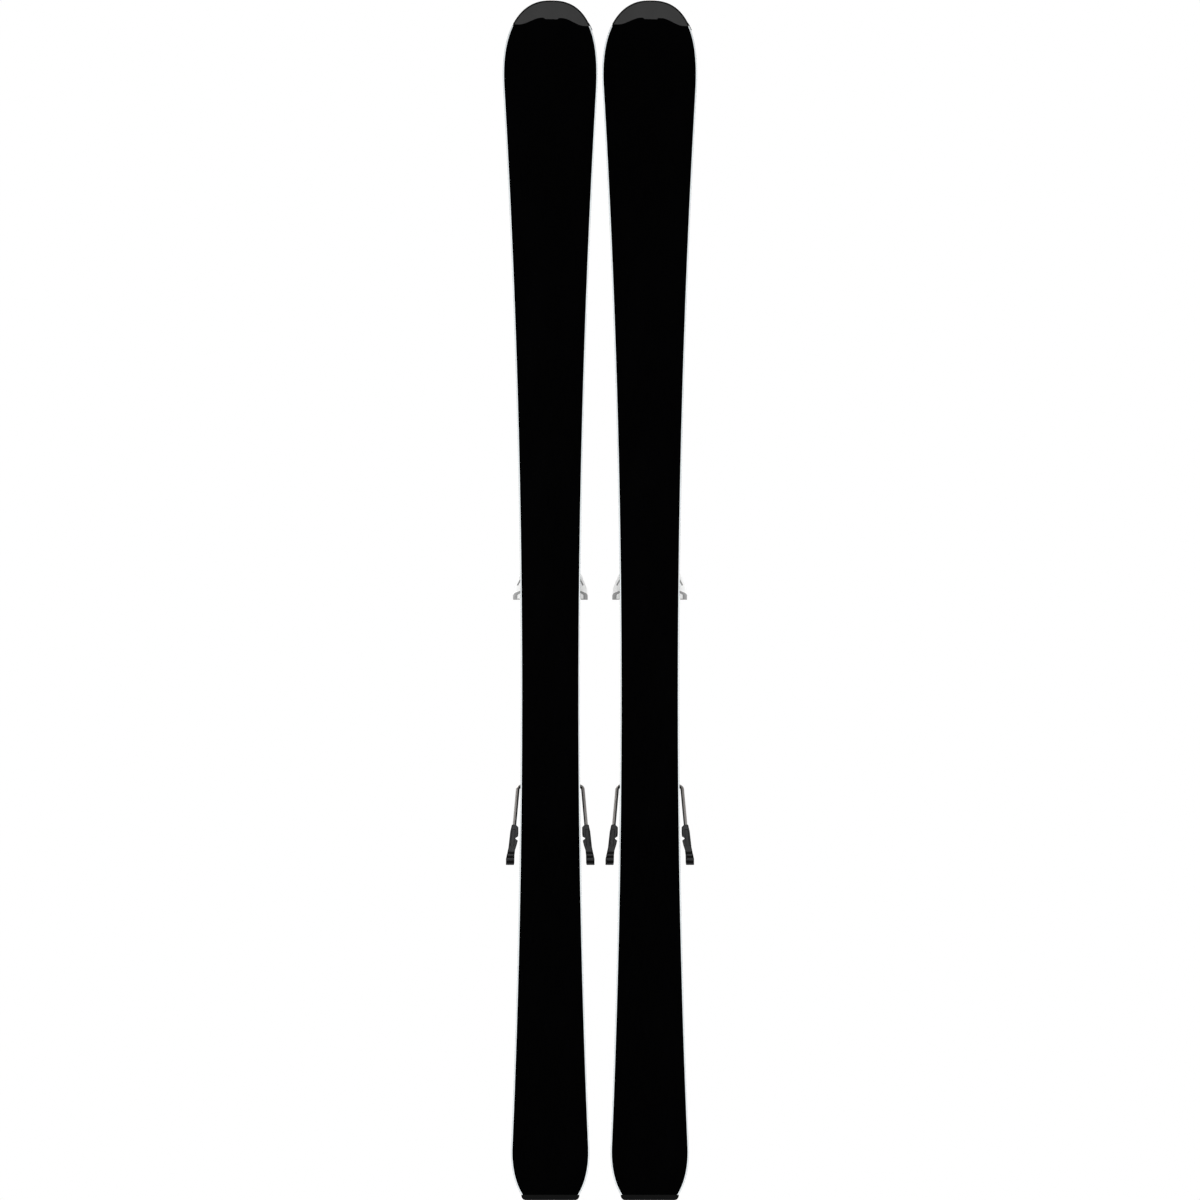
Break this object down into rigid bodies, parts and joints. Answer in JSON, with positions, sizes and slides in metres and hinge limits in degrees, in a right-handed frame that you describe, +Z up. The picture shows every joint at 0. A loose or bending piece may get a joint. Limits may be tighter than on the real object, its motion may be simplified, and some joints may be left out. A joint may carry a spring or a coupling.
{
  "type": "pair of alpine skis with bindings",
  "caption": "Alpine skis with flat black bases, steel edges, upturned tips, and step-in toe and heel bindings with spring-loaded brakes.",
  "frame": {"origin": "on the floor under the middle of the pair, at mid length, level with the lowest point of the deployed brake pads", "axes": "+X towards the ski tips, +Y towards the left ski, +Z up from the bases to the bindings"},
  "size_m": [1.51, 0.2443, 0.1713],
  "materials": {
    "sintered_base": "waxed sintered polyethylene with fine structure",
    "edge_steel": "ground steel",
    "core_wood": "sawn laminated wood",
    "sidewall_black": "milled, satin",
    "topsheet_print": "satin with plain bands",
    "protector_grey": "moulded, fine grain",
    "protector_black": "moulded, fine grain",
    "rail_plastic": "moulded, satin",
    "screw_steel": "zinc plated",
    "chassis_plastic": "moulded, fine grain",
    "housing_white": "moulded, semi-gloss",
    "wing_white": "moulded, semi-gloss",
    "pin_steel": "ground steel",
    "spring_steel": "drawn wire, oiled",
    "plug_grey": "die cast, satin",
    "indicator_orange": "moulded",
    "afd_grey": "low-friction plate",
    "lever_black": "moulded, fine grain",
    "bracket_black": "glass-filled nylon",
    "pedal_grey": "moulded with ribs",
    "wire_steel": "drawn spring steel",
    "pad_black": "glass-filled nylon"
  },
  "bodies": {
    "left_ski": {"left_base": "sintered_base", "left_steel_edges": "edge_steel", "left_wood_core": "core_wood", "left_sidewalls": "sidewall_black", "left_topsheet": "topsheet_print", "left_tip_protector": "protector_grey", "left_tail_protector": "protector_black", "left_rail": "rail_plastic", "left_rail_screws": "screw_steel", "left_toe_base": "chassis_plastic", "left_toe_housing": "housing_white", "left_toe_pins": "pin_steel", "left_toe_spring": "spring_steel"},
    "left_wing_l": {"left_toe_wing_left": "wing_white"},
    "left_wing_r": {"left_toe_wing_right": "wing_white"},
    "left_toe_plug": {"left_toe_screw": "plug_grey"},
    "left_toe_marker": {"left_toe_indicator": "indicator_orange"},
    "left_afd": {"left_afd_plate": "afd_grey"},
    "left_carriage": {"left_heel_carriage": "chassis_plastic", "left_heel_pin": "pin_steel", "left_brake_bracket": "bracket_black"},
    "left_heel": {"left_heel_housing": "housing_white", "left_heel_spring": "spring_steel"},
    "left_lever": {"left_heel_lever": "lever_black"},
    "left_heel_plug": {"left_heel_screw": "plug_grey"},
    "left_heel_marker": {"left_heel_indicator": "indicator_orange"},
    "left_brake": {"left_brake_pedal": "pedal_grey", "left_brake_wire": "wire_steel", "left_brake_pad_left": "pad_black", "left_brake_pad_right": "pad_black"},
    "right_ski": {"right_base": "sintered_base", "right_steel_edges": "edge_steel", "right_wood_core": "core_wood", "right_sidewalls": "sidewall_black", "right_topsheet": "topsheet_print", "right_tip_protector": "protector_grey", "right_tail_protector": "protector_black", "right_rail": "rail_plastic", "right_rail_screws": "screw_steel", "right_toe_base": "chassis_plastic", "right_toe_housing": "housing_white", "right_toe_pins": "pin_steel", "right_toe_spring": "spring_steel"},
    "right_wing_l": {"right_toe_wing_left": "wing_white"},
    "right_wing_r": {"right_toe_wing_right": "wing_white"},
    "right_toe_plug": {"right_toe_screw": "plug_grey"},
    "right_toe_marker": {"right_toe_indicator": "indicator_orange"},
    "right_afd": {"right_afd_plate": "afd_grey"},
    "right_carriage": {"right_heel_carriage": "chassis_plastic", "right_heel_pin": "pin_steel", "right_brake_bracket": "bracket_black"},
    "right_heel": {"right_heel_housing": "housing_white", "right_heel_spring": "spring_steel"},
    "right_lever": {"right_heel_lever": "lever_black"},
    "right_heel_plug": {"right_heel_screw": "plug_grey"},
    "right_heel_marker": {"right_heel_indicator": "indicator_orange"},
    "right_brake": {"right_brake_pedal": "pedal_grey", "right_brake_wire": "wire_steel", "right_brake_pad_left": "pad_black", "right_brake_pad_right": "pad_black"}
  },
  "joints": [
    {"name": "left_wing_l_open", "type": "hinge", "parent": "left_ski", "child": "left_wing_l", "pos_m": [0.052, 0.0825, 0.1013], "axis": [0, 0, -1], "range_deg": [0, 25], "stiffness_Nm_per_rad": 20, "springref_deg": -5.73},
    {"name": "left_wing_r_open", "type": "hinge", "parent": "left_ski", "child": "left_wing_r", "pos_m": [0.052, 0.0425, 0.1013], "axis": [0, 0, 1], "range_deg": [0, 25], "stiffness_Nm_per_rad": 20, "springref_deg": -5.73},
    {"name": "left_toe_setting", "type": "hinge", "parent": "left_ski", "child": "left_toe_plug", "pos_m": [0.095, 0.0625, 0.0983], "axis": [1, 0, 0], "range_deg": [0, 1800]},
    {"name": "left_toe_marker_slide", "type": "slide", "parent": "left_ski", "child": "left_toe_marker", "axis": [1, 0, 0], "range_m": [0, 0.01]},
    {"name": "left_afd_slide", "type": "slide", "parent": "left_ski", "child": "left_afd", "axis": [0, 1, 0], "range_m": [-0.006, 0.006], "stiffness_N_per_m": 400},
    {"name": "left_heel_length", "type": "slide", "parent": "left_ski", "child": "left_carriage", "axis": [1, 0, 0], "range_m": [-0.015, 0.015]},
    {"name": "left_heel_open", "type": "hinge", "parent": "left_carriage", "child": "left_heel", "pos_m": [-0.318, 0.0625, 0.0883], "axis": [0, -1, 0], "range_deg": [0, 35]},
    {"name": "left_lever_press", "type": "hinge", "parent": "left_heel", "child": "left_lever", "pos_m": [-0.306, 0.0625, 0.1363], "axis": [0, -1, 0], "range_deg": [0, 25]},
    {"name": "left_heel_setting", "type": "hinge", "parent": "left_heel", "child": "left_heel_plug", "pos_m": [-0.345, 0.0625, 0.1143], "axis": [-1, 0, 0], "range_deg": [0, 1800]},
    {"name": "left_heel_marker_slide", "type": "slide", "parent": "left_heel", "child": "left_heel_marker", "axis": [1, 0, 0], "range_m": [0, 0.01]},
    {"name": "left_brake_fold", "type": "hinge", "parent": "left_carriage", "child": "left_brake", "pos_m": [-0.234, 0.0625, 0.0843], "axis": [0, 1, 0], "range_deg": [0, 40], "stiffness_Nm_per_rad": 3, "springref_deg": -74.48},
    {"name": "pair_spread", "type": "slide", "parent": "left_ski", "child": "right_ski", "axis": [0, -1, 0], "range_m": [0, 0.1]},
    {"name": "right_wing_l_open", "type": "hinge", "parent": "right_ski", "child": "right_wing_l", "pos_m": [0.052, -0.0425, 0.1013], "axis": [0, 0, -1], "range_deg": [0, 25], "stiffness_Nm_per_rad": 20, "springref_deg": -5.73},
    {"name": "right_wing_r_open", "type": "hinge", "parent": "right_ski", "child": "right_wing_r", "pos_m": [0.052, -0.0825, 0.1013], "axis": [0, 0, 1], "range_deg": [0, 25], "stiffness_Nm_per_rad": 20, "springref_deg": -5.73},
    {"name": "right_toe_setting", "type": "hinge", "parent": "right_ski", "child": "right_toe_plug", "pos_m": [0.095, -0.0625, 0.0983], "axis": [1, 0, 0], "range_deg": [0, 1800]},
    {"name": "right_toe_marker_slide", "type": "slide", "parent": "right_ski", "child": "right_toe_marker", "axis": [1, 0, 0], "range_m": [0, 0.01]},
    {"name": "right_afd_slide", "type": "slide", "parent": "right_ski", "child": "right_afd", "axis": [0, 1, 0], "range_m": [-0.006, 0.006], "stiffness_N_per_m": 400},
    {"name": "right_heel_length", "type": "slide", "parent": "right_ski", "child": "right_carriage", "axis": [1, 0, 0], "range_m": [-0.015, 0.015]},
    {"name": "right_heel_open", "type": "hinge", "parent": "right_carriage", "child": "right_heel", "pos_m": [-0.318, -0.0625, 0.0883], "axis": [0, -1, 0], "range_deg": [0, 35]},
    {"name": "right_lever_press", "type": "hinge", "parent": "right_heel", "child": "right_lever", "pos_m": [-0.306, -0.0625, 0.1363], "axis": [0, -1, 0], "range_deg": [0, 25]},
    {"name": "right_heel_setting", "type": "hinge", "parent": "right_heel", "child": "right_heel_plug", "pos_m": [-0.345, -0.0625, 0.1143], "axis": [-1, 0, 0], "range_deg": [0, 1800]},
    {"name": "right_heel_marker_slide", "type": "slide", "parent": "right_heel", "child": "right_heel_marker", "axis": [1, 0, 0], "range_m": [0, 0.01]},
    {"name": "right_brake_fold", "type": "hinge", "parent": "right_carriage", "child": "right_brake", "pos_m": [-0.234, -0.0625, 0.0843], "axis": [0, 1, 0], "range_deg": [0, 40], "stiffness_Nm_per_rad": 3, "springref_deg": -74.48}
  ],
  "couplings": [
    {"joint": "left_toe_marker_slide", "follows": "left_toe_setting", "m_per_rad": 0.00031831},
    {"joint": "left_lever_press", "follows": "left_heel_open", "ratio": 0.71428},
    {"joint": "left_heel_marker_slide", "follows": "left_heel_setting", "m_per_rad": 0.00031831},
    {"joint": "right_toe_marker_slide", "follows": "right_toe_setting", "m_per_rad": 0.00031831},
    {"joint": "right_lever_press", "follows": "right_heel_open", "ratio": 0.71428},
    {"joint": "right_heel_marker_slide", "follows": "right_heel_setting", "m_per_rad": 0.00031831}
  ]
}
